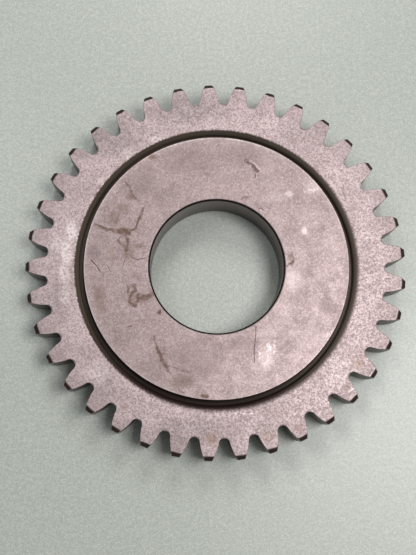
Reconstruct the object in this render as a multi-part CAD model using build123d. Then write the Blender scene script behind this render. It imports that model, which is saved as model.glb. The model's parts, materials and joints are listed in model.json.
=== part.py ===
from build123d import *
import os
from math import acos, atan2, cos, hypot, pi, radians, sin, sqrt, tan

# Spur gear made of two steel pieces: a toothed ring shrunk onto a plain round hub.
# All lengths are in millimetres. The gear lies flat: +Z is the bore axis, Z = 0 is the
# lower face, X = Y = 0 is the bore axis, and the first tooth is centred on +X.

# Teeth: standard full-depth involute form, straight along the axis
module = 5.0
tooth_count = 37
pressure_angle = radians(20)
addendum = 1.0 * module
dedendum = 1.25 * module
root_fillet = 0.47 * module
flank_thinning = 0.05        # taken off each flank for running backlash
tip_chamfer = 2.4            # 45 degree chamfer turned on both ends of the tooth tips

# Axial layout
ring_width = 22.5
hub_length = 26.0

# Shrink-fit joint between the ring and the hub
joint_radius = 67.5
joint_lead_in = 1.0          # 45 degree lead-in on the ring's lower bore edge

# Relief groove around the hub, open to the upper side
groove_width = 2.75          # flat floor, from the hub barrel out to the groove's wall
groove_depth = 5.0           # below the ring's upper face
groove_floor_radius = 1.0    # hollow corner between the floor and the wall
groove_lip_radius = 3.0      # rounding where the wall meets the ring's upper face

# Hub details
bore_radius = 34.0
bore_chamfer = 0.8
hub_edge_break = 0.3

# Number of points along each flank curve
flank_points = 7

pitch_radius = module * tooth_count / 2
base_radius = pitch_radius * cos(pressure_angle)
tip_radius = pitch_radius + addendum
root_radius = pitch_radius - dedendum
tooth_pitch_angle = 2 * pi / tooth_count


def involute(angle):
    """The involute function of a pressure angle."""
    return tan(angle) - angle


def half_tooth_angle(radius):
    """Angle from a tooth's centre line to its flank at a radius on the involute."""
    thinned = (pi * module / 4 - flank_thinning) / pitch_radius
    return thinned + involute(pressure_angle) - involute(acos(base_radius / radius))


def at_angle(radius, angle):
    """A point in the XY plane, from its radius and its angle."""
    return (radius * cos(angle), radius * sin(angle))


def fillet_geometry():
    """Where the root fillet meets the flank and the root circle, on a tooth centred on +X.

    The fillet's centre lies on a flank normal, and every flank normal is tangent to the base
    circle, so the length of the normal follows from two right-angled triangles.
    """
    centre_radius = root_radius + root_fillet
    normal_length = sqrt(centre_radius ** 2 - base_radius ** 2) - root_fillet
    flank_start_radius = hypot(base_radius, normal_length)
    flank_start_angle = half_tooth_angle(flank_start_radius)
    centre_swing = atan2(normal_length + root_fillet, base_radius)
    start_swing = atan2(normal_length, base_radius)
    centre_angle = flank_start_angle + centre_swing - start_swing
    return flank_start_radius, centre_angle


def flank(side, centre_angle, start_radius):
    """One flank from the root fillet out to the tip, as points; side is +1 or -1."""
    points = []
    for step in range(flank_points):
        radius = start_radius + (tip_radius - start_radius) * step / (flank_points - 1)
        points.append(at_angle(radius, centre_angle + side * half_tooth_angle(radius)))
    return points


def fillet_middle(centre_angle, start_radius, fillet_angle, side):
    """The point halfway along a root fillet."""
    centre = Vector(*at_angle(root_radius + root_fillet, centre_angle + side * fillet_angle))
    foot = Vector(*at_angle(root_radius, centre_angle + side * fillet_angle))
    start = Vector(*at_angle(start_radius, centre_angle + side * half_tooth_angle(start_radius)))
    towards = ((foot - centre) + (start - centre)).normalized()
    point = centre + towards * root_fillet
    return (point.X, point.Y)


def tooth_outline():
    """The closed outline of all the teeth, as one face in the XY plane."""
    start_radius, fillet_angle = fillet_geometry()
    with BuildSketch() as outline:
        with BuildLine():
            for index in range(tooth_count):
                centre = index * tooth_pitch_angle
                rising = flank(-1, centre, start_radius)
                falling = flank(1, centre, start_radius)[::-1]
                foot_before = at_angle(root_radius, centre - fillet_angle)
                foot_after = at_angle(root_radius, centre + fillet_angle)
                next_foot = at_angle(root_radius, centre + tooth_pitch_angle - fillet_angle)
                gap_middle = at_angle(root_radius, centre + tooth_pitch_angle / 2)
                middle_before = fillet_middle(centre, start_radius, fillet_angle, -1)
                middle_after = fillet_middle(centre, start_radius, fillet_angle, 1)
                ThreePointArc(foot_before, middle_before, rising[0])
                Spline(*rising)
                ThreePointArc(rising[-1], at_angle(tip_radius, centre), falling[0])
                Spline(*falling)
                ThreePointArc(falling[-1], middle_after, foot_after)
                ThreePointArc(foot_after, gap_middle, next_foot)
        make_face()
    return outline.sketch


def turned_ring():
    """The ring's blank before its teeth are cut: a turned section swept round the axis."""
    wall_radius = joint_radius + groove_width
    lip_radius = wall_radius + groove_lip_radius
    floor_height = ring_width - groove_depth
    diagonal = 1 - sqrt(0.5)
    with BuildPart() as blank:
        with BuildSketch(Plane.XZ):
            with BuildLine():
                Polyline(
                    (joint_radius + joint_lead_in, 0),
                    (tip_radius - tip_chamfer, 0),
                    (tip_radius, tip_chamfer),
                    (tip_radius, ring_width - tip_chamfer),
                    (tip_radius - tip_chamfer, ring_width),
                    (lip_radius, ring_width),
                )
                ThreePointArc(
                    (lip_radius, ring_width),
                    (wall_radius + groove_lip_radius * diagonal,
                     ring_width - groove_lip_radius * diagonal),
                    (wall_radius, ring_width - groove_lip_radius),
                )
                Line(
                    (wall_radius, ring_width - groove_lip_radius),
                    (wall_radius, floor_height + groove_floor_radius),
                )
                ThreePointArc(
                    (wall_radius, floor_height + groove_floor_radius),
                    (wall_radius - groove_floor_radius * diagonal,
                     floor_height + groove_floor_radius * diagonal),
                    (wall_radius - groove_floor_radius, floor_height),
                )
                Polyline(
                    (wall_radius - groove_floor_radius, floor_height),
                    (joint_radius, floor_height),
                    (joint_radius, joint_lead_in),
                    (joint_radius + joint_lead_in, 0),
                )
            make_face()
        revolve(axis=Axis.Z)
    return blank.part


def make_toothed_ring():
    """The ring that carries the teeth."""
    teeth = extrude(tooth_outline(), amount=ring_width)
    return turned_ring() & teeth


def make_hub():
    """The plain round hub, ground on its faces, with a smooth chamfered bore."""
    with BuildPart() as hub:
        with BuildSketch(Plane.XZ):
            with BuildLine():
                Polyline(
                    (bore_radius, bore_chamfer),
                    (bore_radius + bore_chamfer, 0),
                    (joint_radius - hub_edge_break, 0),
                    (joint_radius, hub_edge_break),
                    (joint_radius, hub_length - hub_edge_break),
                    (joint_radius - hub_edge_break, hub_length),
                    (bore_radius + bore_chamfer, hub_length),
                    (bore_radius, hub_length - bore_chamfer),
                    close=True,
                )
            make_face()
        revolve(axis=Axis.Z)
    return hub.part


parts = {
    "toothed_ring": make_toothed_ring(),
    "hub": make_hub(),
}

os.makedirs("parts", exist_ok=True)
for name, shape in parts.items():
    shape.label = name
    export_step(shape, f"parts/{name}.step")
    print(name, round(shape.volume), "mm3", "valid" if shape.is_valid else "INVALID")
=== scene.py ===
import json
import math
import random

import bmesh
import bpy
import numpy as np
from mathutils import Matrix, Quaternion, Vector


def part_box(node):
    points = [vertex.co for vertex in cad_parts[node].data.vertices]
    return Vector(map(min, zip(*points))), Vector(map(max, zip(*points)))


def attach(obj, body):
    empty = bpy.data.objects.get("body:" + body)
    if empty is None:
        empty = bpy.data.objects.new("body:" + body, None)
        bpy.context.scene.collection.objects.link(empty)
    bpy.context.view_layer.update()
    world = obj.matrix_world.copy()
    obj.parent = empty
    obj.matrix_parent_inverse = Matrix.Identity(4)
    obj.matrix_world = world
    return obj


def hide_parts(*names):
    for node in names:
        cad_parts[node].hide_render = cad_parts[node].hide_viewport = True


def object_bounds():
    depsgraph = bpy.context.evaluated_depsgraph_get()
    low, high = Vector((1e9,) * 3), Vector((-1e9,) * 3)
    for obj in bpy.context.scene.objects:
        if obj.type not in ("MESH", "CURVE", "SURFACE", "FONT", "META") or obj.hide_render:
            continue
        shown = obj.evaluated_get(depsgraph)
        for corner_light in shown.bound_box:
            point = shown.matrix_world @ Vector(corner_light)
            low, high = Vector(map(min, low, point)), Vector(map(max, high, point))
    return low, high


# A steel spur gear lying flat on a pale bench: a toothed ring on a hub.
# The mesh code works in millimetres and scales to metres when it makes each mesh.
# +Z is the bore axis, Z = 0 is the lower face and the first tooth is centred on +X.

MM = 0.001
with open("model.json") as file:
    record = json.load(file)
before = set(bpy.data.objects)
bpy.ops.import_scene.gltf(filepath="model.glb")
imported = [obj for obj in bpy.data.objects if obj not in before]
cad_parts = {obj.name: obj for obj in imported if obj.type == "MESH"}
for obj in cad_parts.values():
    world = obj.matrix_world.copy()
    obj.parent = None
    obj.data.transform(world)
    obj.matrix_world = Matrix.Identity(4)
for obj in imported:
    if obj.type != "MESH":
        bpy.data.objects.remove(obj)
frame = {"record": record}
cad_low, cad_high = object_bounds()
ring_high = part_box("toothed_ring")[1]
hub_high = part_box("hub")[1]

# Sizes that the frame gives, in millimetres
TIP_RADIUS = round(ring_high.x / MM, 3)
RING_WIDTH = round(ring_high.z / MM, 3)
HUB_LENGTH = round(hub_high.z / MM, 3)
BORE_MOUNT = next(m for m in frame["record"]["mounts"] if m["name"] == "bore")
BORE_RADIUS = BORE_MOUNT["dims"]["r_mm"]

# Teeth
TOOTH_COUNT = 37
MODULE = 2 * TIP_RADIUS / (TOOTH_COUNT + 2)
PRESSURE_ANGLE = math.radians(20)
PITCH_RADIUS = MODULE * TOOTH_COUNT / 2
BASE_RADIUS = PITCH_RADIUS * math.cos(PRESSURE_ANGLE)
DEDENDUM = 1.25 * MODULE
ROOT_RADIUS = PITCH_RADIUS - DEDENDUM
ROOT_FILLET = 0.47 * MODULE
FLANK_THINNING = 0.05       # taken off each flank at the pitch circle
TIP_CHAMFER = 2.4
CHAMFER_START = TIP_RADIUS - TIP_CHAMFER
TOOTH_PITCH_ANGLE = 2 * math.pi / TOOTH_COUNT

# Joint, groove and hub
JOINT_RADIUS = 67.5
JOINT_LEAD_IN = 1.0
GROOVE_WIDTH = 2.75
GROOVE_WALL_RADIUS = JOINT_RADIUS + GROOVE_WIDTH
GROOVE_DEPTH = 5.0
GROOVE_FLOOR_FILLET = 1.0
GROOVE_LIP = 3.0            # radius of the rounded lip above the groove's outer wall
BORE_CHAMFER = 0.8
BORE_MOUTH = BORE_RADIUS + BORE_CHAMFER
HUB_EDGE_BREAK = 0.3

# Edge wear
EDGE_WEAR = 0.16            # rounding worn onto the sharp edges of the teeth
WEAR_REACH = 0.35           # how far the bright wear beside those edges reaches
WEAR_LEAST = 0.35           # every section of the ring draws its wear between these
WEAR_MOST = 1.0
HUB_EDGE_WEAR = 0.07        # rounding worn onto the hub's edges

# Mesh divisions
FILLET_STEPS = 5
FLANK_POINTS = 6
CHAMFER_POINTS = 5
LIP_STEPS = 8
FLOOR_FILLET_STEPS = 4
SPREAD_RADIUS = 84.6        # outside this, the side faces' points spread to the tooth outline
UPPER_FACE_RADII = (82.5, 79.5, 76.5)
LOWER_FACE_RADII = (72.0, 76.5, 80.0, 82.5)
HUB_SEGMENTS = 296
HUB_FACE_RINGS = 8
HUB_FACE_MARGIN = 4.0       # from the hub's edges to the evenly spaced rings of its faces
HUB_MOUTH_MARGIN = 0.6      # from the bore's mouth and from the outer edge to the rows beside them
HUB_EDGE_MARGIN = 0.9
HUB_BORE_DEPTH = 4.0
HUB_BARREL_DEPTHS = (1.2, 4.5, 8.5)
WELD_DISTANCE = 0.002 * MM
DEGENERATE_LENGTH = 0.001 * MM
SHARP_ANGLE = math.radians(50)      # edges that turn by more than this are shaded sharp
FLAT_FACE_WEIGHT = 60               # how strongly large faces set the shading

random.seed(37)


# ---------------------------------------------------------------- mesh helpers

def arc(centre_x, centre_y, radius, start, end, steps):
    """Points along an arc, its ends included, with angles in degrees."""
    points = []
    for step in range(steps + 1):
        angle = math.radians(start + (end - start) * step / steps)
        points.append((centre_x + radius * math.cos(angle), centre_y + radius * math.sin(angle)))
    return points


def turn_between(start, end):
    """The turn from one angle to another, the short way round."""
    return (end - start + math.pi) % (2 * math.pi) - math.pi


def grid_mesh(name, columns):
    """A closed mesh from columns of (angle, radius, height, wear) points, in millimetres: every
    column is one closed section, and the columns go once round the axis."""
    points = []
    wears = []
    for column in columns:
        for angle, radius, height, wear in column:
            points.append((radius * math.cos(angle) * MM, radius * math.sin(angle) * MM, height * MM))
            wears.append(wear)
    rows = len(columns[0])
    faces = []
    for column in range(len(columns)):
        after = (column + 1) % len(columns)
        for row in range(rows):
            below = (row + 1) % rows
            faces.append((column * rows + row, column * rows + below,
                          after * rows + below, after * rows + row))
    mesh = bpy.data.meshes.new(name)
    mesh.from_pydata(points, [], faces)
    mesh.attributes.new("wear", "FLOAT", "POINT").data.foreach_set("value", wears)
    work = bmesh.new()
    work.from_mesh(mesh)
    bmesh.ops.remove_doubles(work, verts=work.verts, dist=WELD_DISTANCE)
    bmesh.ops.dissolve_degenerate(work, edges=work.edges, dist=DEGENERATE_LENGTH)
    bmesh.ops.recalc_face_normals(work, faces=work.faces)
    work.to_mesh(mesh)
    work.free()
    mesh.shade_smooth()
    mesh.set_sharp_from_angle(angle=SHARP_ANGLE)
    return mesh


def add_piece(name, mesh, node, material):
    """Puts a mesh in the scene in place of its CAD node."""
    piece = bpy.data.objects.new(name, mesh)
    bpy.context.scene.collection.objects.link(piece)
    mesh.materials.append(material)
    weighted = piece.modifiers.new("weighted normals", "WEIGHTED_NORMAL")
    weighted.keep_sharp = True
    weighted.weight = FLAT_FACE_WEIGHT
    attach(piece, "root")
    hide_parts(node)


# ---------------------------------------------------------------- toothed ring

def involute(angle):
    return math.tan(angle) - angle


def half_tooth_angle(radius):
    """Angle from a tooth's centre line to its flank at a radius."""
    thinned = (math.pi * MODULE / 4 - FLANK_THINNING) / PITCH_RADIUS
    return thinned + involute(PRESSURE_ANGLE) - involute(math.acos(BASE_RADIUS / radius))


def half_tooth_outline():
    """(angle, radius) from the middle of a tooth gap up to the middle of the tooth's tip, with
    the tooth's centre line at angle 0 and the gap at negative angles."""
    # The root fillet touches the root circle, and its centre is on the flank's normal at the start
    # radius: an involute's normals all touch the base circle
    centre_radius = ROOT_RADIUS + ROOT_FILLET
    normal = math.sqrt(centre_radius ** 2 - BASE_RADIUS ** 2) - ROOT_FILLET
    start_radius = math.hypot(BASE_RADIUS, normal)
    swing = math.atan2(normal + ROOT_FILLET, BASE_RADIUS) - math.atan2(normal, BASE_RADIUS)
    fillet_angle = half_tooth_angle(start_radius) + swing
    centre = Vector((centre_radius * math.cos(fillet_angle), centre_radius * math.sin(fillet_angle)))
    foot = Vector((ROOT_RADIUS * math.cos(fillet_angle), ROOT_RADIUS * math.sin(fillet_angle)))
    flank_angle = half_tooth_angle(start_radius)
    start = Vector((start_radius * math.cos(flank_angle), start_radius * math.sin(flank_angle)))

    outline = []
    for share in (0.0, 0.5):
        outline.append((TOOTH_PITCH_ANGLE / 2 * (1 - share) + fillet_angle * share, ROOT_RADIUS))
    turn_start = math.atan2(foot.y - centre.y, foot.x - centre.x)
    turn_end = math.atan2(start.y - centre.y, start.x - centre.x)
    turn = turn_between(turn_start, turn_end)
    for step in range(FILLET_STEPS):
        angle = turn_start + turn * step / FILLET_STEPS
        x = centre.x + ROOT_FILLET * math.cos(angle)
        y = centre.y + ROOT_FILLET * math.sin(angle)
        outline.append((math.atan2(y, x), math.hypot(x, y)))
    radii = list(np.linspace(start_radius, CHAMFER_START - EDGE_WEAR, FLANK_POINTS))
    radii += list(np.linspace(CHAMFER_START + EDGE_WEAR, TIP_RADIUS, CHAMFER_POINTS))
    outline += [(half_tooth_angle(radius), radius) for radius in radii]
    tip_angle = half_tooth_angle(TIP_RADIUS)
    outline += [(tip_angle * share, TIP_RADIUS) for share in (0.8, 0.4, 0.0)]
    return [(-angle, radius) for angle, radius in outline]


def ring_outline():
    """(angle, radius) of the whole toothed outline, once round."""
    half = half_tooth_outline()
    whole = half + [(-angle, radius) for angle, radius in half[-2:0:-1]]
    outline = []
    for tooth in range(TOOTH_COUNT):
        outline += [(angle + tooth * TOOTH_PITCH_ANGLE, radius) for angle, radius in whole]
    return outline


def inset(outline, distance):
    """The outline moved into the metal by a distance, as (angle, radius)."""
    points = np.array([(r * math.cos(a), r * math.sin(a)) for a, r in outline])
    before = points - np.roll(points, 1, axis=0)
    after = np.roll(points, -1, axis=0) - points
    inward_before = np.stack([-before[:, 1], before[:, 0]], 1)
    inward_after = np.stack([-after[:, 1], after[:, 0]], 1)
    inward_before /= np.linalg.norm(inward_before, axis=1)[:, None]
    inward_after /= np.linalg.norm(inward_after, axis=1)[:, None]
    middle = inward_before + inward_after
    middle *= 2 / (middle ** 2).sum(1)[:, None]
    moved = points + middle * distance
    return [(math.atan2(y, x), math.hypot(x, y)) for x, y in moved]


def groove_section():
    """(radius, height) inwards over the ring's upper face, down the groove and the joint, and out
    over the lower face."""
    floor = RING_WIDTH - GROOVE_DEPTH
    section = [(radius, RING_WIDTH) for radius in UPPER_FACE_RADII]
    section += arc(GROOVE_WALL_RADIUS + GROOVE_LIP, RING_WIDTH - GROOVE_LIP,
                   GROOVE_LIP, 90, 180, LIP_STEPS)
    section += arc(GROOVE_WALL_RADIUS - GROOVE_FLOOR_FILLET, floor + GROOVE_FLOOR_FILLET,
                   GROOVE_FLOOR_FILLET, 0, -90, FLOOR_FILLET_STEPS)
    section += [(JOINT_RADIUS, floor), (JOINT_RADIUS, floor / 2), (JOINT_RADIUS, JOINT_LEAD_IN)]
    section += [(JOINT_RADIUS + JOINT_LEAD_IN, 0)]
    section += [(radius, 0) for radius in LOWER_FACE_RADII]
    return section


def chamfered(radius):
    """How far the turned tip chamfer drops a side face at a radius."""
    return max(0.0, radius - CHAMFER_START)


def face_rows(angle, rim_angle, rim_radius):
    """(angle, radius, wear) outwards over a side face, with rows close beside its worn edges."""
    swing = turn_between(angle, rim_angle)
    flat_end = min(rim_radius, CHAMFER_START - EDGE_WEAR)
    chamfer_top = CHAMFER_START + EDGE_WEAR
    past_top = min(rim_radius, chamfer_top + WEAR_REACH)
    rows = []
    for share in (0.0, 0.3, 0.6, 0.85):
        radius = SPREAD_RADIUS + (flat_end - SPREAD_RADIUS) * share
        rows.append((angle + swing * share, radius, 0.0))
    rows += [
        (rim_angle, flat_end - WEAR_REACH, 0.0),
        (rim_angle, flat_end, 1.0),
        (rim_angle, min(rim_radius, chamfer_top), 0.6),
        (rim_angle, past_top, 0.0),
        (rim_angle, max(past_top, rim_radius - WEAR_REACH), 0.0),
        (rim_angle, rim_radius, 1.0),
    ]
    return rows


def flank_rows(radius):
    """(height, wear) down the toothed outline at a radius."""
    top = RING_WIDTH - chamfered(radius) - EDGE_WEAR
    bottom = chamfered(radius) + EDGE_WEAR
    return [
        (top, 1.0),
        (top - WEAR_REACH, 0.0),
        (top * 0.65 + bottom * 0.35, 0.0),
        (top * 0.35 + bottom * 0.65, 0.0),
        (bottom + WEAR_REACH, 0.0),
        (bottom, 1.0),
    ]


def ring_mesh():
    outline = ring_outline()
    rim = inset(outline, EDGE_WEAR)
    groove = groove_section()
    columns = []
    for (angle, radius), (rim_angle, rim_radius) in zip(outline, rim):
        face = face_rows(angle, rim_angle, rim_radius)
        column = [(a, r, RING_WIDTH - chamfered(r), wear) for a, r, wear in face]
        column += [(angle, radius, height, wear) for height, wear in flank_rows(radius)]
        column += [(a, r, chamfered(r), wear) for a, r, wear in reversed(face)]
        column += [(angle, r, height, 0.0) for r, height in reversed(groove)]
        strength = random.uniform(WEAR_LEAST, WEAR_MOST)
        columns.append([(a, r, height, wear * strength) for a, r, height, wear in column])
    return grid_mesh("toothed_ring_finish", columns)


# ---------------------------------------------------------------- hub

def hub_section():
    """(radius, height, wear) round the hub's section. Rows close beside each edge keep the smooth
    shading flat next to it."""
    top = HUB_LENGTH
    diagonal = HUB_EDGE_WEAR * 0.7
    edge = JOINT_RADIUS - HUB_EDGE_BREAK
    half = [
        (BORE_RADIUS, top / 2, 0.0),
        (BORE_RADIUS, top - HUB_BORE_DEPTH, 0.0),
        (BORE_RADIUS, top - BORE_CHAMFER - HUB_EDGE_WEAR, 0.0),
        (BORE_RADIUS + diagonal, top - BORE_CHAMFER + diagonal, 0.0),
        (BORE_MOUTH - diagonal, top - diagonal, 0.0),
        (BORE_MOUTH + HUB_EDGE_WEAR, top, 0.5),
        (BORE_MOUTH + HUB_MOUTH_MARGIN, top, 0.0),
    ]
    rings = np.linspace(BORE_MOUTH + HUB_FACE_MARGIN, edge - HUB_FACE_MARGIN, HUB_FACE_RINGS)
    half += [(radius, top, 0.0) for radius in rings]
    half += [
        (edge - HUB_EDGE_MARGIN, top, 0.1),
        (edge - HUB_EDGE_WEAR, top, 1.0),
        (edge + HUB_EDGE_WEAR, top - HUB_EDGE_WEAR, 0.0),
        (JOINT_RADIUS, top - HUB_EDGE_BREAK - HUB_EDGE_WEAR, 0.0),
    ]
    half += [(JOINT_RADIUS, top - depth, 0.0) for depth in HUB_BARREL_DEPTHS]
    lower = [(radius, top - height, wear) for radius, height, wear in half[:0:-1]]
    return half + lower


def hub_mesh():
    section = hub_section()
    columns = []
    for index in range(HUB_SEGMENTS):
        angle = 2 * math.pi * index / HUB_SEGMENTS
        columns.append([(angle, radius, height, wear) for radius, height, wear in section])
    return grid_mesh("hub_finish", columns)


# ---------------------------------------------------------------- material helpers

class Shader:
    """Builds a node material. Its methods take and return sockets; numbers and colours may stand
    in for sockets."""

    def __init__(self, name):
        self.material = bpy.data.materials.new(name)
        self.material.use_nodes = True
        self.nodes = self.material.node_tree.nodes
        self.links = self.material.node_tree.links
        self.principled = self.nodes["Principled BSDF"]
        self.point = self.scaled_position()

    def feed(self, socket, value):
        """Links an input to another socket, or sets its value."""
        if isinstance(value, bpy.types.NodeSocket):
            self.links.new(value, socket)
        elif value is not None:
            socket.default_value = value

    def scaled_position(self):
        """The object's own coordinates, in millimetres."""
        coordinates = self.nodes.new("ShaderNodeTexCoord")
        scale = self.nodes.new("ShaderNodeVectorMath")
        scale.operation = "SCALE"
        self.links.new(coordinates.outputs["Object"], scale.inputs[0])
        scale.inputs["Scale"].default_value = 1 / MM
        return scale.outputs[0]

    def math(self, operation, first, second=None):
        node = self.nodes.new("ShaderNodeMath")
        node.operation = operation
        self.feed(node.inputs[0], first)
        self.feed(node.inputs[1], second)
        return node.outputs[0]

    def product(self, first, *others):
        """The values multiplied together."""
        result = first
        for value in others:
            result = self.math("MULTIPLY", result, value)
        return result

    def largest(self, first, *others):
        """The largest of the values."""
        result = first
        for value in others:
            result = self.math("MAXIMUM", result, value)
        return result

    def vector(self, operation, first, second=None):
        node = self.nodes.new("ShaderNodeVectorMath")
        node.operation = operation
        self.feed(node.inputs[0], first)
        self.feed(node.inputs[1], second)
        return node.outputs["Value" if operation == "LENGTH" else "Vector"]

    def split(self, vector):
        node = self.nodes.new("ShaderNodeSeparateXYZ")
        self.feed(node.inputs[0], vector)
        return node.outputs[0], node.outputs[1], node.outputs[2]

    def join(self, x, y, z):
        node = self.nodes.new("ShaderNodeCombineXYZ")
        for socket, value in zip(node.inputs, (x, y, z)):
            self.feed(socket, value)
        return node.outputs[0]

    def noise(self, vector, scale, detail=3.0, roughness=0.55, distortion=0.0):
        """Noise about 0.5, of scale waves to the millimetre."""
        node = self.nodes.new("ShaderNodeTexNoise")
        self.feed(node.inputs["Vector"], vector)
        node.inputs["Scale"].default_value = scale
        node.inputs["Detail"].default_value = detail
        node.inputs["Roughness"].default_value = roughness
        node.inputs["Distortion"].default_value = distortion
        return node.outputs[0]

    def cells(self, vector, scale):
        """The distance to the nearest of some scattered points."""
        node = self.nodes.new("ShaderNodeTexVoronoi")
        self.feed(node.inputs["Vector"], vector)
        node.inputs["Scale"].default_value = scale
        return node.outputs["Distance"]

    def remap(self, value, from_low, from_high, to_low=0.0, to_high=1.0, smooth=False):
        """Maps one range to another and holds the result inside it."""
        node = self.nodes.new("ShaderNodeMapRange")
        node.interpolation_type = "SMOOTHSTEP" if smooth else "LINEAR"
        node.clamp = not smooth
        self.feed(node.inputs["Value"], value)
        for name, number in (("From Min", from_low), ("From Max", from_high),
                             ("To Min", to_low), ("To Max", to_high)):
            self.feed(node.inputs[name], number)
        return node.outputs[0]

    def mix(self, share, first, second):
        """Mixes two colours. The share is held between 0 and 1."""
        node = self.nodes.new("ShaderNodeMix")
        node.data_type = "RGBA"
        self.feed(node.inputs[0], share)
        for socket, value in ((node.inputs[6], first), (node.inputs[7], second)):
            self.feed(socket, value if isinstance(value, bpy.types.NodeSocket) else (*value, 1.0))
        return node.outputs[2]

    def blend(self, share, first, second):
        """Mixes two numbers. The share is held between 0 and 1."""
        node = self.nodes.new("ShaderNodeMix")
        self.feed(node.inputs[0], share)
        self.feed(node.inputs[2], first)
        self.feed(node.inputs[3], second)
        return node.outputs[0]

    def attribute(self, name):
        node = self.nodes.new("ShaderNodeAttribute")
        node.attribute_name = name
        return node.outputs["Fac"]

    def upwardness(self):
        """How far the surface faces up or down, -1 to 1, in the object's own axes."""
        geometry = self.nodes.new("ShaderNodeNewGeometry")
        turn = self.nodes.new("ShaderNodeVectorTransform")
        turn.vector_type = "NORMAL"
        turn.convert_from = "WORLD"
        turn.convert_to = "OBJECT"
        self.links.new(geometry.outputs["True Normal"], turn.inputs[0])
        return self.split(turn.outputs[0])[2]

    def bump(self, height, distance):
        """A bumped normal, for a height of 0 to 1 over a distance in millimetres."""
        node = self.nodes.new("ShaderNodeBump")
        self.feed(node.inputs["Height"], height)
        node.inputs["Distance"].default_value = distance * MM
        node.inputs["Strength"].default_value = 1.0
        return node.outputs[0]

    def finish(self, colour, roughness, metallic, specular, normal):
        """Feeds the surface and returns the material."""
        self.feed(self.principled.inputs["Base Color"], colour)
        self.feed(self.principled.inputs["Roughness"], roughness)
        self.feed(self.principled.inputs["Metallic"], metallic)
        self.feed(self.principled.inputs["Specular IOR Level"], specular)
        self.feed(self.principled.inputs["Normal"], normal)
        return self.material


def stroke_group():
    """A node group: the distance in the XY plane from a point to a line segment, less a width."""
    group = bpy.data.node_groups.new("stroke", "ShaderNodeTree")
    for name in ("Point", "Start", "Span"):
        group.interface.new_socket(name, in_out="INPUT", socket_type="NodeSocketVector")
    group.interface.new_socket("Inverse", in_out="INPUT", socket_type="NodeSocketFloat")
    group.interface.new_socket("Width", in_out="INPUT", socket_type="NodeSocketFloat")
    group.interface.new_socket("Distance", in_out="OUTPUT", socket_type="NodeSocketFloat")
    nodes, links = group.nodes, group.links
    given = nodes.new("NodeGroupInput")
    result = nodes.new("NodeGroupOutput")

    def step(kind, operation, first, second=None):
        node = nodes.new(kind)
        node.operation = operation
        links.new(first, node.inputs[0])
        if isinstance(second, float):
            node.inputs[1].default_value = second
        elif second is not None:
            links.new(second, node.inputs["Scale"] if operation == "SCALE" else node.inputs[1])
        return node

    offset = step("ShaderNodeVectorMath", "SUBTRACT", given.outputs["Point"], given.outputs["Start"])
    along = step("ShaderNodeVectorMath", "DOT_PRODUCT", offset.outputs[0], given.outputs["Span"])
    share = step("ShaderNodeMath", "MULTIPLY", along.outputs["Value"], given.outputs["Inverse"])
    before_end = step("ShaderNodeMath", "MINIMUM", share.outputs[0], 1.0)
    within = step("ShaderNodeMath", "MAXIMUM", before_end.outputs[0], 0.0)
    reach = step("ShaderNodeVectorMath", "SCALE", given.outputs["Span"], within.outputs[0])
    gap = step("ShaderNodeVectorMath", "SUBTRACT", offset.outputs[0], reach.outputs[0])
    length = step("ShaderNodeVectorMath", "LENGTH", gap.outputs[0])
    less = step("ShaderNodeMath", "SUBTRACT", length.outputs["Value"], given.outputs["Width"])
    links.new(less.outputs[0], result.inputs[0])
    return group


STROKE = stroke_group()


def strokes(shader, point, lines):
    """The least distance from point to any of the lines: each is (half width, points), in mm."""
    nearest = None
    for width, path in lines:
        for start, end in zip(path, path[1:]):
            node = shader.nodes.new("ShaderNodeGroup")
            node.node_tree = STROKE
            span = (end[0] - start[0], end[1] - start[1], 0.0)
            shader.links.new(point, node.inputs["Point"])
            node.inputs["Start"].default_value = (*start, 0.0)
            node.inputs["Span"].default_value = span
            node.inputs["Inverse"].default_value = 1 / (span[0] ** 2 + span[1] ** 2)
            node.inputs["Width"].default_value = width
            distance = node.outputs[0]
            nearest = distance if nearest is None else shader.math("MINIMUM", nearest, distance)
    return nearest


def blots(shader, point, spots):
    """The strongest of some soft round spots: each is (x, y, half width, half height, strength)."""
    strongest = None
    for x, y, half_width, half_height, strength in spots:
        offset = shader.vector("SUBTRACT", point, (x, y, 0.0))
        squashed = shader.vector("MULTIPLY", offset, (1 / half_width, 1 / half_height, 0.0))
        distance = shader.vector("LENGTH", squashed)
        spot = shader.remap(distance, 1.25, 0.35, 0.0, strength, smooth=True)
        strongest = spot if strongest is None else shader.math("MAXIMUM", strongest, spot)
    return strongest


# ---------------------------------------------------------------- marks on the upper faces

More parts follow.
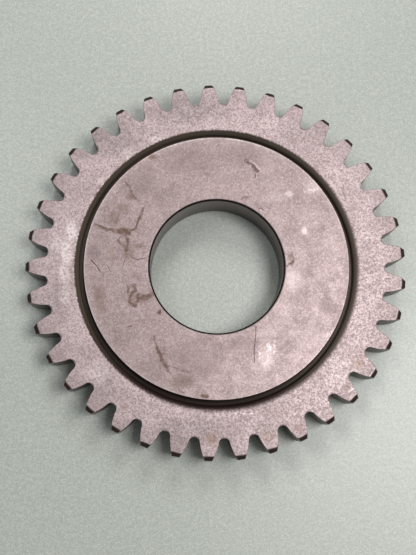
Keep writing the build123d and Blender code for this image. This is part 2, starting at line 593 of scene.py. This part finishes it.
# Lines on the hub are (half width, points) and spots are (x, y, half width, half height, strength),
# in millimetres from the bore axis. First, thin brown oil veins
OIL_VEINS = [
    (1.30, [(-48.3, 21.9), (-43.6, 21.0)]),
    (0.75, [(-59.8, 26.4), (-55.1, 23.9), (-50.1, 22.3), (-45.5, 21.6)]),
    (0.50, [(-35.1, 32.9), (-37.0, 27.6), (-38.9, 22.9), (-42.6, 21.4)]),
    (0.55, [(-44.4, 20.5), (-44.0, 16.5), (-45.1, 12.6), (-44.8, 10.1)]),
    (0.25, [(-43.9, 16.4), (-45.2, 19.0), (-47.6, 19.2), (-49.2, 17.5), (-47.4, 14.8), (-45.1, 12.6)]),
    (0.15, [(-45.0, 11.2), (-43.2, 8.8), (-39.8, 6.5)]),
    (0.25, [(-43.6, 48.2), (-41.1, 43.9), (-39.8, 40.8), (-37.3, 37.3)]),
    (0.70, [(-45.6, -9.2), (-44.9, -6.4), (-42.4, -6.2), (-42.0, -9.0), (-44.5, -11.9),
            (-45.2, -15.0), (-42.9, -17.2), (-40.9, -14.5), (-41.0, -12.3)]),
    (1.20, [(-41.0, -12.3), (-37.0, -12.9), (-33.9, -11.9)]),
    (0.20, [(-34.3, -32.5), (-34.4, -36.0), (-33.4, -39.0)]),
    (0.75, [(-33.4, -39.0), (-32.2, -42.2), (-30.5, -47.0), (-28.5, -50.5)]),
    (0.15, [(-28.5, -50.5), (-26.2, -55.0)]),
    (0.30, [(-24.2, -60.6), (-22.6, -62.0)]),
    (0.85, [(-12.8, -64.9), (-11.0, -65.2)]),
    (0.45, [(-31.6, -21.2), (-30.6, -20.6)]),
    (0.12, [(-30.0, -47.0), (-25.8, -49.0), (-21.8, -51.5), (-17.2, -52.0)]),
    (0.85, [(19.5, 53.8), (22.6, 51.0), (25.0, 47.5)]),
    (0.35, [(38.1, 3.6), (39.7, 0.7), (38.7, -1.1), (36.2, -2.7)]),
]
# Thin dark scratches
DARK_SCRATCHES = [
    (0.12, [(16.9, -31.9), (15.9, -38.7), (14.7, -45.0), (14.4, -50.0)]),
    (0.14, [(-39.8, 6.5), (-36.1, 7.0)]),
    (0.22, [(-63.2, 8.2), (-60.7, 5.1), (-59.2, 2.3)]),
    (0.06, [(-55.4, 5.1), (-53.9, 1.4)]),
    (0.12, [(-46.4, 7.0), (-47.6, 2.9)]),
    (0.14, [(15.6, 33.6), (17.0, 34.6), (19.1, 34.5)]),
    (0.14, [(23.7, 27.6), (24.8, 28.3), (26.2, 27.3)]),
    (0.16, [(-47.3, -27.2), (-45.1, -26.6)]),
    (0.16, [(23.8, 46.2), (23.6, 44.4)]),
]
# Bright burnished scuffs
BRIGHT_SCUFFS = [
    (0.85, [(49.0, 34.9), (52.5, 35.2), (55.5, 37.0)]),
    (0.55, [(50.6, 37.8), (53.6, 40.0)]),
    (0.85, [(23.0, -42.0), (21.5, -47.5), (20.5, -50.0)]),
    (0.40, [(18.4, -42.5), (17.4, -49.0)]),
    (0.30, [(25.4, -40.5), (24.6, -46.0)]),
    (0.20, [(22.0, 53.2), (25.8, 48.8)]),
]
# Soft brown stains, dark clouds that are partly painted shade, and bright rubbed spots
BROWN_STAINS = [
    (-45.2, 21.6, 3.6, 2.4, 1.00), (-50.0, 29.0, 3.5, 5.5, 0.55), (-45.0, 33.5, 4.0, 3.0, 0.50),
    (-40.5, 39.4, 2.8, 2.6, 0.80), (-38.0, 13.2, 3.6, 1.6, 0.60), (-28.2, 59.2, 2.4, 1.6, 1.00),
    (-31.1, -21.0, 1.4, 1.1, 0.90), (-12.0, -64.9, 2.2, 1.3, 1.00), (-8.9, -36.4, 5.0, 1.6, 0.40),
    (-22.6, -56.5, 6.5, 3.6, 0.60), (-31.5, -43.0, 3.0, 7.5, 0.40), (-36.0, -34.0, 3.0, 3.5, 0.25),
    (-60.0, -11.0, 4.0, 9.0, 0.60), (-43.5, -13.5, 3.5, 4.5, 0.55), (-39.5, -14.2, 3.5, 2.6, 0.60),
    (37.8, 1.8, 1.6, 2.6, 0.45), (-34.0, -36.5, 1.4, 3.6, 0.65), (-30.5, -46.0, 2.0, 4.0, 0.50),
    (-44.6, 11.0, 3.5, 6.5, 0.55), (-52.0, 11.0, 3.5, 6.0, 0.25),
]
CLOUDS_AND_PAINTED_SHADE = [
    (53.0, -25.0, 5.0, 4.5, 0.80), (55.0, -17.0, 2.5, 2.0, 0.45), (48.7, -35.0, 2.4, 6.0, 0.60),
    (-35.4, 45.1, 10.0, 9.0, 0.50), (-61.5, 12.0, 4.0, 3.4, 0.75), (-8.0, 56.0, 17.0, 9.0, 0.55),
    (35.0, -19.0, 3.5, 2.0, 0.35), (-16.0, -46.0, 14.0, 12.0, 0.65), (8.0, -40.0, 9.0, 6.0, 0.40),
    (-58.0, 18.0, 6.0, 9.0, 0.25), (-50.0, -30.0, 7.0, 9.0, 0.20), (-36.0, -50.0, 9.0, 9.0, 0.40),
    (18.0, 57.0, 13.0, 8.0, 0.50), (-8.0, -42.0, 9.0, 5.0, 0.40), (-24.0, 38.0, 8.0, 7.0, 0.30),
]
BRIGHT_SPOTS = [
    (40.3, 34.2, 2.6, 1.8, 0.60), (46.3, 14.5, 2.0, 2.2, 0.85), (20.3, -47.5, 4.5, 7.5, 0.30),
    (53.0, 37.5, 5.0, 4.0, 0.35), (52.4, 35.7, 3.2, 1.2, 0.90), (31.5, 33.0, 8.0, 3.0, 0.20),
    (38.0, -10.0, 6.0, 8.0, 0.34), (44.0, -38.0, 9.0, 9.0, 0.06), (58.0, 5.0, 5.0, 12.0, 0.04),
]
# The same for the ring: painted shade, rust stains, painted highlights and scuffs
RING_SHADES = [
    (-48.0, 72.0, 22.0, 11.0, 0.55), (-22.0, -82.0, 26.0, 9.0, 0.50), (-82.0, -12.0, 6.0, 12.0, 0.20),
    (20.0, -84.0, 9.0, 5.0, 0.40), (-60.0, -56.0, 10.0, 8.0, 0.25), (-8.0, 84.0, 22.0, 9.0, 0.65),
    (50.0, 68.0, 16.0, 9.0, 0.35),
]
RING_STAINS = [
    (66.9, -55.0, 3.6, 2.6, 0.80), (69.8, -51.5, 2.0, 1.4, 0.50), (52.0, -73.0, 2.4, 3.4, 0.55),
    (60.0, -66.0, 3.0, 2.0, 0.45), (34.0, -84.0, 3.2, 2.4, 0.45), (-52.0, -66.0, 2.6, 2.0, 0.35),
    (-9.8, -86.0, 3.0, 3.5, 0.75), (17.8, -87.3, 4.0, 3.0, 0.40),
]
RING_PAINTED_GLINTS = [
    (-72.3, 24.5, 3.6, 7.0, 0.70), (-75.5, 13.5, 3.6, 7.5, 0.70), (-77.3, 3.0, 3.4, 7.0, 0.55),
    (-77.5, -8.0, 3.4, 6.0, 0.40), (-80.0, 19.0, 4.0, 5.0, 0.35), (-25.0, 69.8, 5.0, 1.8, 0.40),
    (-55.8, 49.5, 3.0, 2.2, 0.35), (-64.0, -48.0, 6.0, 7.0, 0.30), (60.0, -58.0, 8.0, 8.0, 0.25),
    (-40.0, 63.0, 5.0, 4.0, 0.20), (30.0, 74.0, 8.0, 4.0, 0.15),
]
RING_SCUFFS = [
    (0.22, [(71.5, -53.5), (74.6, -51.0)]), (0.20, [(61.0, -68.5), (65.0, -66.0)]),
    (0.22, [(50.5, -76.5), (54.5, -74.5)]), (0.20, [(36.5, -84.5), (40.5, -83.0)]),
    (0.18, [(62.5, -66.5), (66.5, -63.5)]), (0.20, [(48.0, -74.0), (52.0, -71.5)]),
    (0.15, [(2.5, -74.3), (11.5, -75.1)]),
]


# ---------------------------------------------------------------- colours, in linear RGB

BLASTED_DARK = (0.292, 0.218, 0.223)
BLASTED_PALE = (0.470, 0.371, 0.380)
BLASTED_SPARKLE = (0.68, 0.575, 0.588)
TOOTH_TONE = (0.235, 0.190, 0.186)
RING_CLOUD = (0.255, 0.192, 0.193)
RING_SHADE = (0.200, 0.170, 0.162)
RUST = (0.255, 0.160, 0.105)
RING_GLINT = (0.80, 0.715, 0.705)
RING_SCUFF = (0.78, 0.69, 0.68)
FLANK_ROOT_SHADE = (0.030, 0.023, 0.020)
FLANK_POLISHED = (0.165, 0.137, 0.125)
RING_WEAR_AND_HIGHLIGHT = (0.74, 0.66, 0.63)

SCALE_DARK = (0.022, 0.013, 0.011)
SCALE_BROWN = (0.060, 0.038, 0.033)
GROOVE_SHADOW_BLACK = (0.014, 0.010, 0.009)
GROOVE_SPECK = (0.040, 0.028, 0.024)
DUST_IN_SHADE = (0.040, 0.025, 0.022)
DUST_BROWN = (0.072, 0.057, 0.043)
DUST_PAINTED_LIGHT = (0.165, 0.128, 0.103)
CORNER_PAINTED_LIGHT = (0.190, 0.150, 0.120)

GROUND_DARK = (0.250, 0.189, 0.186)
GROUND_PALE = (0.362, 0.281, 0.282)
GROUND_MOTTLE = (0.47, 0.385, 0.388)
GROUND_GRAIN = (0.222, 0.165, 0.163)
GROUND_SPECK = (0.50, 0.415, 0.425)
TURNED_LINE = (0.50, 0.42, 0.42)
BROWN_STAIN = (0.212, 0.140, 0.112)
OIL_BROWN = (0.128, 0.077, 0.056)
HUB_CLOUD_AND_SHADE = (0.170, 0.128, 0.128)
SCRATCH = (0.085, 0.040, 0.030)
HUB_BRIGHT = (0.69, 0.595, 0.600)
HUB_WEAR_AND_HIGHLIGHT = (0.66, 0.57, 0.575)
BORE_DEPTH_SHADE = (0.085, 0.066, 0.063)
BORE_BRIGHT = (0.240, 0.190, 0.183)
BARREL_SHADE_BLACK = (0.012, 0.009, 0.008)
BARREL_SHADE_BROWN = (0.034, 0.026, 0.021)
MOUTH_SHADE_BLACK = (0.010, 0.007, 0.006)

BENCH_DARK = (0.440, 0.478, 0.433)
BENCH_PALE = (0.492, 0.527, 0.484)
BENCH_PATCH = (0.55, 0.58, 0.54)
BENCH_SPECK = (0.375, 0.408, 0.370)
BENCH_FINE_DARK = (0.350, 0.380, 0.345)
BENCH_FINE_PALE = (0.62, 0.65, 0.61)


# ---------------------------------------------------------------- materials

STEEL_SPECULAR = 0.10
STEEL_METALLIC = 0.85
FLANK_METALLIC = 0.35
BORE_METALLIC = 0.45
RING_BLACK_METALLIC = 0.15
HUB_BLACK_METALLIC = 0.10
BLACK_ROUGHNESS = 0.55
BENCH_SPECULAR = 0.8
BENCH_ROUGHNESS = 0.38

# How deep the bumps are, in millimetres
RING_BUMP = 0.09
HUB_BUMP = 0.045
BENCH_BUMP = 0.06

MARK_WANDER = 0.7           # how far noise moves the hub's marks, in millimetres
LOW_SIDE = (-0.26, -0.97)   # the direction towards the gear's side that is lowest in the view

# Where the finish or the painted light and shade changes: each pair is the radius where a change
# starts and where it is complete
FLANK_RADII = (85.2, 85.6)
TOOTH_TONE_RADII = (86.0, 93.0)
FLANK_SHADE_RADII = (86.0, 89.5)
LIP_SOFT_RADII = (74.2, 71.3)
LIP_CRISP_RADII = (73.0, 72.0)
LIP_END_RADIUS = 74.4
DUST_RADII = (67.8, 68.8)
CORNER_INNER_RADII = (68.4, 69.6)
CORNER_OUTER_RADII = (71.8, 70.4)
NEAR_BORE_RADII = (36.0, 35.6)
RIM_WEAR_RADII = (60.0, 62.0)
BARREL_RADIUS = JOINT_RADIUS - 0.22


def ring_face_colour(s, x, y, z, radius, grain, fine):
    """The blasted side faces, and on the upper one painted shade, rust, painted highlights and scuffs.
    """
    cloud = s.noise(s.point, 0.075, detail=3.0)
    colour = s.mix(s.remap(grain, 0.38, 0.62), BLASTED_DARK, BLASTED_PALE)
    colour = s.mix(s.remap(fine, 0.46, 0.64, 0.0, 0.75), colour, BLASTED_SPARKLE)
    colour = s.mix(s.remap(radius, *TOOTH_TONE_RADII, 0.0, 0.28), colour, TOOTH_TONE)
    colour = s.mix(s.remap(cloud, 0.38, 0.66, 0.0, 0.35), colour, RING_CLOUD)

    flat = s.join(x, y, 0.0)
    upper_face = s.math("GREATER_THAN", z, RING_WIDTH - 1.0)
    # Painted shade: dark patches on the upper face
    shade = s.product(blots(s, flat, RING_SHADES), upper_face, s.remap(grain, 0.3, 0.7, 1.0, 0.5))
    colour = s.mix(shade, colour, RING_SHADE)
    rust = s.product(blots(s, flat, RING_STAINS), upper_face, s.remap(fine, 0.35, 0.6, 0.3, 1.0), 0.9)
    colour = s.mix(rust, colour, RUST)
    # Painted highlights: bright glints on the upper face
    painted_glint = s.product(blots(s, flat, RING_PAINTED_GLINTS), upper_face, s.remap(grain, 0.35, 0.62, 0.25, 1.0))
    colour = s.mix(painted_glint, colour, RING_GLINT)
    scuff = s.remap(strokes(s, flat, RING_SCUFFS), 0.45, -0.15, smooth=True)
    scuff = s.product(scuff, upper_face, s.remap(grain, 0.38, 0.58), 0.75)
    return s.mix(scuff, colour, RING_SCUFF)


def groove_shade_share(s, x, y, z, radius, grain):
    """How far a point is inside the dark groove band: painted shade in the groove and a painted dark
    reflection on its lip. The black ends raggedly on the lip, over a wider band towards +X and -Y."""
    ragged = s.math("ADD", radius, s.remap(grain, 0.3, 0.7, -0.25, 0.25))
    crisp = s.remap(s.math("SUBTRACT", y, s.product(x, 0.8)), -60.0, 20.0)
    black_ends = s.blend(crisp, LIP_SOFT_RADII[0], LIP_CRISP_RADII[0])
    all_black = s.blend(crisp, LIP_SOFT_RADII[1], LIP_CRISP_RADII[1])
    inside = s.remap(ragged, black_ends, all_black, smooth=True)
    on_lip = s.math("LESS_THAN", radius, LIP_END_RADIUS)
    above_floor = s.math("GREATER_THAN", z, RING_WIDTH - GROOVE_DEPTH - 0.5)
    return s.product(inside, on_lip, above_floor)


def groove_dust_and_light(s, x, y, radius, fine):
    """Brown dust with painted light and shade: a painted black shadow against the hub, painted shade
    towards the low side, and painted light towards +X and in the floor's outer corner."""
    # Painted shade towards the low side, and painted light towards +X and in the floor's outer corner
    towards_low_side = s.math("ADD", s.product(x, LOW_SIDE[0]), s.product(y, LOW_SIDE[1]))
    lit_side = s.remap(towards_low_side, 66.0, 30.0)
    dust = s.mix(lit_side, DUST_IN_SHADE, DUST_BROWN)
    dust = s.mix(s.remap(x, 25.0, 68.0, 0.0, 0.6), dust, DUST_PAINTED_LIGHT)
    corner_light = s.product(s.remap(radius, *CORNER_INNER_RADII), s.remap(radius, *CORNER_OUTER_RADII))
    corner_light = s.product(corner_light, lit_side, 0.75)
    dust = s.mix(corner_light, dust, CORNER_PAINTED_LIGHT)
    # Painted shadow: black against the hub
    dust = s.mix(s.remap(radius, *DUST_RADII), GROOVE_SHADOW_BLACK, dust)
    return s.mix(s.remap(fine, 0.35, 0.65, 0.0, 0.3), dust, GROOVE_SPECK)


def ring_steel():
    """Shot-blasted steel with fine bright and dark grain, machined flanks, blackened turned surfaces
    on the tip chamfers, painted shade at the tooth roots and in the groove, and painted edge
    highlights."""
    s = Shader("ring_steel")
    x, y, z = s.split(s.point)
    radius = s.vector("LENGTH", s.join(x, y, 0.0))
    up = s.math("ABSOLUTE", s.upwardness())
    grain = s.noise(s.point, 0.95, detail=2.0, roughness=0.6)
    fine = s.noise(s.point, 2.6, detail=2.0, roughness=0.7)
    pits = s.cells(s.point, 1.1)

    colour = ring_face_colour(s, x, y, z, radius, grain, fine)
    # Painted shade: the flanks darken from polished steel to near black towards the tooth roots
    flank = s.product(s.remap(up, 0.35, 0.15), s.remap(radius, *FLANK_RADII))
    uneven = s.math("ADD", radius, s.remap(grain, 0.3, 0.7, -0.6, 0.6))
    out_of_root_shade = s.remap(uneven, *FLANK_SHADE_RADII)
    colour = s.mix(flank, colour, s.mix(out_of_root_shade, FLANK_ROOT_SHADE, FLANK_POLISHED))
    # Painted shade: the groove is darkened, and its lip carries a painted dark reflection
    groove_shade = groove_shade_share(s, x, y, z, radius, grain)
    colour = s.mix(groove_shade, colour, groove_dust_and_light(s, x, y, radius, fine))
    slope = s.product(s.remap(up, 0.93, 0.85), s.remap(up, 0.45, 0.55))
    chamfer = s.product(slope, s.remap(radius, CHAMFER_START - 0.5, CHAMFER_START))
    colour = s.mix(chamfer, colour, s.mix(s.remap(fine, 0.35, 0.7), SCALE_DARK, SCALE_BROWN))
    # Edge wear, with a painted highlight along the worn tooth edges
    wear_and_highlight = s.product(s.attribute("wear"), s.remap(s.noise(s.point, 0.22), 0.44, 0.62))
    colour = s.mix(s.product(wear_and_highlight, 0.90), colour, RING_WEAR_AND_HIGHLIGHT)

    black = s.largest(chamfer, groove_shade)
    roughness = s.remap(grain, 0.3, 0.7, 0.62, 0.48)
    roughness = s.blend(flank, roughness, 0.38)
    roughness = s.blend(black, roughness, BLACK_ROUGHNESS)
    roughness = s.blend(wear_and_highlight, roughness, 0.32)
    metallic = s.blend(flank, STEEL_METALLIC, FLANK_METALLIC)
    metallic = s.blend(black, metallic, RING_BLACK_METALLIC)

    height = s.math("ADD", s.product(grain, 0.6), s.product(pits, 0.2))
    height = s.math("ADD", height, s.product(fine, 0.3))
    height = s.product(height, s.blend(flank, 1.0, 0.25))
    return s.finish(colour, roughness, metallic, STEEL_SPECULAR, s.bump(height, RING_BUMP))


def wandering(s, flat):
    """The place moved by slow noise, so that marks drawn at it are uneven."""
    across = s.remap(s.noise(flat, 0.30, detail=2.0), 0.3, 0.7, -MARK_WANDER, MARK_WANDER)
    elsewhere = s.vector("ADD", flat, (31.0, 17.0, 5.0))
    along = s.remap(s.noise(elsewhere, 0.30), 0.3, 0.7, -MARK_WANDER, MARK_WANDER)
    return s.vector("ADD", flat, s.join(across, along, 0.0))


def hub_marks(s, colour, x, y, mottle, speck, upper_face):
    """Marks the upper face. Returns the colour, and the shares of brown oil, of dark scratches and
    of bright rubbed steel."""
    flat = s.join(x, y, 0.0)
    shifted = wandering(s, flat)
    broken = s.remap(s.noise(flat, 0.55, detail=3.0), 0.34, 0.56)

    vein = s.remap(strokes(s, shifted, OIL_VEINS), 0.45, -0.25, smooth=True)
    vein = s.product(vein, s.remap(broken, 0.0, 1.0, 0.35, 1.0), upper_face)
    stain = s.product(blots(s, shifted, BROWN_STAINS), s.remap(mottle, 0.3, 0.7, 1.2, 0.6), upper_face)
    colour = s.mix(s.product(stain, 0.9), colour, BROWN_STAIN)
    colour = s.mix(s.product(vein, 0.8), colour, OIL_BROWN)

    # Dark clouds: partly the steel's own mottling, partly painted shade
    cloud_and_shade = s.product(blots(s, shifted, CLOUDS_AND_PAINTED_SHADE), upper_face, 0.6)
    colour = s.mix(cloud_and_shade, colour, HUB_CLOUD_AND_SHADE)
    scratch = s.remap(strokes(s, flat, DARK_SCRATCHES), 0.20, -0.06, smooth=True)
    scratch = s.product(scratch, s.remap(broken, 0.0, 0.6, 0.5, 1.0), upper_face)
    colour = s.mix(s.product(scratch, 0.85), colour, SCRATCH)

    scuff = s.remap(strokes(s, shifted, BRIGHT_SCUFFS), 0.7, -0.3, smooth=True)
    scuff = s.product(scuff, s.remap(speck, 0.42, 0.60, 0.05, 0.9))
    rubbed = s.product(s.largest(scuff, blots(s, shifted, BRIGHT_SPOTS)), upper_face)
    colour = s.mix(s.product(rubbed, 0.70), colour, HUB_BRIGHT)
    return colour, s.largest(vein, stain), scratch, rubbed


def hub_steel():
    """Fine turned and ground steel: faint concentric tool marks, cloudy mottling partly painted as
    shade, oil veins, scratches and rubbed spots, painted edge highlights, and painted shade on the
    bore chamfer, down the bore and on the barrel."""
    s = Shader("hub_steel")
    x, y, z = s.split(s.point)
    radius = s.vector("LENGTH", s.join(x, y, 0.0))
    facing = s.upwardness()
    up = s.math("ABSOLUTE", facing)
    cloud = s.noise(s.point, 0.11, detail=4.0, roughness=0.6, distortion=0.4)
    mottle = s.noise(s.point, 0.42, detail=3.0, roughness=0.6)
    grain = s.noise(s.point, 1.4, detail=2.0, roughness=0.6)
    speck = s.noise(s.point, 1.05, detail=3.0, roughness=0.75)
    turned = s.noise(s.join(s.product(radius, 2.2), 0.0, s.product(z, 0.6)), 1.0)

    colour = s.mix(s.remap(cloud, 0.35, 0.68), GROUND_DARK, GROUND_PALE)
    colour = s.mix(s.remap(mottle, 0.40, 0.68, 0.0, 0.5), colour, GROUND_MOTTLE)
    colour = s.mix(s.remap(grain, 0.39, 0.61, 0.72, 0.0), colour, GROUND_GRAIN)
    colour = s.mix(s.remap(speck, 0.50, 0.66, 0.0, 0.62), colour, GROUND_SPECK)
    colour = s.mix(s.remap(turned, 0.4, 0.6, 0.0, 0.08), colour, TURNED_LINE)
    upper_face = s.remap(facing, 0.9, 0.98)
    colour, brown, scratch, rubbed = hub_marks(s, colour, x, y, mottle, speck, upper_face)

    upright = s.remap(up, 0.3, 0.1)
    wall = s.product(upright, s.remap(radius, BORE_RADIUS + 0.4, BORE_RADIUS + 0.2))
    # Painted shade: the bore wall darkens towards the lower face
    colour = s.mix(wall, colour, s.mix(s.remap(z, 4.0, HUB_LENGTH - 2.0), BORE_DEPTH_SHADE, BORE_BRIGHT))
    # Painted shade: the hub's barrel, deep in the groove, is coloured near black
    barrel = s.math("GREATER_THAN", radius, BARREL_RADIUS)
    colour = s.mix(barrel, colour, s.mix(mottle, BARREL_SHADE_BLACK, BARREL_SHADE_BROWN))

    # The bore's mouth carries painted black shade on its chamfer and for a little way on each side of
    # it
    sloped = s.product(s.remap(up, 0.93, 0.85), s.remap(up, 0.4, 0.5))
    chamfer = s.product(sloped, s.remap(radius, *NEAR_BORE_RADII))
    above = s.product(s.remap(radius, BORE_MOUTH + 0.35, BORE_MOUTH + 0.05), s.remap(up, 0.9, 0.98))
    below = s.product(wall, s.remap(z, HUB_LENGTH - 1.9, HUB_LENGTH - 1.3))
    mouth_shade = s.largest(chamfer, above, below)
    colour = s.mix(mouth_shade, colour, MOUTH_SHADE_BLACK)

    # The edges are rubbed bright and carry a painted highlight line, the bore's less, and hardly at
    # all towards +X and -Y
    wear_and_highlight = s.product(s.attribute("wear"), s.remap(s.noise(s.point, 0.25), 0.35, 0.6, 0.25, 1.0))
    wear_and_highlight = s.product(wear_and_highlight, s.remap(radius, *RIM_WEAR_RADII, 0.55, 1.0))
    wear_and_highlight = s.product(wear_and_highlight, s.remap(s.math("SUBTRACT", y, x), -70.0, -25.0, 0.20, 1.15))
    colour = s.mix(s.product(wear_and_highlight, 0.55), colour, HUB_WEAR_AND_HIGHLIGHT)

    black = s.largest(mouth_shade, barrel)
    roughness = s.remap(cloud, 0.3, 0.7, 0.52, 0.40)
    roughness = s.blend(s.product(brown, 0.7), roughness, 0.62)
    roughness = s.blend(rubbed, roughness, 0.33)
    roughness = s.blend(wall, roughness, 0.34)
    roughness = s.blend(black, roughness, BLACK_ROUGHNESS)
    metallic = s.blend(wall, STEEL_METALLIC, BORE_METALLIC)
    metallic = s.blend(s.largest(black, s.product(brown, 0.6)), metallic, HUB_BLACK_METALLIC)

    height = s.math("ADD", s.product(grain, 0.3), s.product(turned, 0.5))
    height = s.math("ADD", height, s.product(mottle, 0.35))
    height = s.math("SUBTRACT", height, s.product(scratch, 0.8))
    return s.finish(colour, roughness, metallic, STEEL_SPECULAR, s.bump(height, HUB_BUMP))


def bench_top():
    """A pale grey-green bench surface with a faint uneven tone and fine specks."""
    s = Shader("bench_top")
    tone = s.noise(s.point, 0.012, detail=3.0)
    patch = s.noise(s.point, 0.16, detail=5.0, roughness=0.7)
    speck = s.noise(s.point, 0.5, detail=4.0, roughness=0.8)
    fine = s.noise(s.point, 1.3, detail=2.0, roughness=0.7)
    colour = s.mix(s.remap(tone, 0.35, 0.65), BENCH_DARK, BENCH_PALE)
    colour = s.mix(s.remap(patch, 0.38, 0.62, 0.0, 0.6), colour, BENCH_PATCH)
    colour = s.mix(s.remap(speck, 0.43, 0.58, 0.85, 0.0), colour, BENCH_SPECK)
    colour = s.mix(s.remap(fine, 0.38, 0.56, 0.55, 0.0), colour, BENCH_FINE_DARK)
    colour = s.mix(s.remap(fine, 0.52, 0.66, 0.0, 0.60), colour, BENCH_FINE_PALE)
    return s.finish(colour, BENCH_ROUGHNESS, 0.0, BENCH_SPECULAR, s.bump(speck, BENCH_BUMP))


# ---------------------------------------------------------------- stage

FLOOR_HALF_SIZE = 3.0       # in metres
FLOOR_GAP = 0.02 * MM       # keeps the floor just clear of the gear's lower face

# Soft square lights that face the gear: (name, place and size in metres, power in watts, colour)
LIGHTS = [
    ("key", (0.43, -0.08, 1.25), 0.45, 8.3, (1.0, 0.99, 0.97)),
    ("top", (0.18, 0.95, 1.15), 0.45, 6.4, (1.0, 0.99, 0.97)),
    ("fill", (-0.50, 0.40, 1.15), 0.40, 2.3, (0.98, 0.99, 1.0)),
]
WORLD_COLOUR = (0.86, 0.87, 0.86, 1.0)
WORLD_STRENGTH = 0.27

# The camera stands over the gear, towards its lower left, tipped a little off straight down
FIRST_TOOTH_TURN = math.radians(4.72)     # the first tooth, anticlockwise from the view's right
CAMERA_OFFSET = (-18.3, -75.9, 474.5)     # from the middle of the hub's upper face, in mm
CAMERA_TIP = math.radians(8.557)
CAMERA_TIP_AXIS = (0.9813, -0.1925, 0.0)
LENS_MM = 61.6
SENSOR_MM = 36.0
CLIP_START = 0.01                         # in metres


def make_floor():
    half = FLOOR_HALF_SIZE
    mesh = bpy.data.meshes.new("floor")
    corners = [(-half, -half, 0), (half, -half, 0), (half, half, 0), (-half, half, 0)]
    mesh.from_pydata(corners, [], [(0, 1, 2, 3)])
    mesh.materials.append(bench_top())
    floor = bpy.data.objects.new("floor", mesh)
    bpy.context.scene.collection.objects.link(floor)
    floor.location.z = cad_low.z - FLOOR_GAP


def make_lights():
    for name, place, size, power, colour in LIGHTS:
        data = bpy.data.lights.new(name, "AREA")
        data.size = size
        data.energy = power
        data.color = colour
        light = bpy.data.objects.new(name, data)
        light.location = place
        light.rotation_mode = "QUATERNION"
        light.rotation_quaternion = (-Vector(place)).to_track_quat("-Z", "Y")
        bpy.context.scene.collection.objects.link(light)
    world = bpy.data.worlds.new("studio")
    world.use_nodes = True
    background = world.node_tree.nodes["Background"]
    background.inputs["Color"].default_value = WORLD_COLOUR
    background.inputs["Strength"].default_value = WORLD_STRENGTH
    bpy.context.scene.world = world
    bpy.context.scene.view_settings.view_transform = "Standard"


def make_camera():
    data = bpy.data.cameras.new("camera")
    data.lens = LENS_MM
    data.sensor_width = SENSOR_MM
    data.clip_start = CLIP_START
    camera = bpy.data.objects.new("camera", data)
    bpy.context.scene.collection.objects.link(camera)
    turn = Quaternion((0, 0, 1), -FIRST_TOOTH_TURN)
    place = turn @ Vector(CAMERA_OFFSET) + Vector((0, 0, HUB_LENGTH))
    camera.location = place * MM
    camera.rotation_mode = "QUATERNION"
    camera.rotation_quaternion = turn @ Quaternion(CAMERA_TIP_AXIS, CAMERA_TIP)
    bpy.context.scene.camera = camera


add_piece("toothed_ring_finish", ring_mesh(), "toothed_ring", ring_steel())
add_piece("hub_finish", hub_mesh(), "hub", hub_steel())
make_floor()
make_lights()
make_camera()
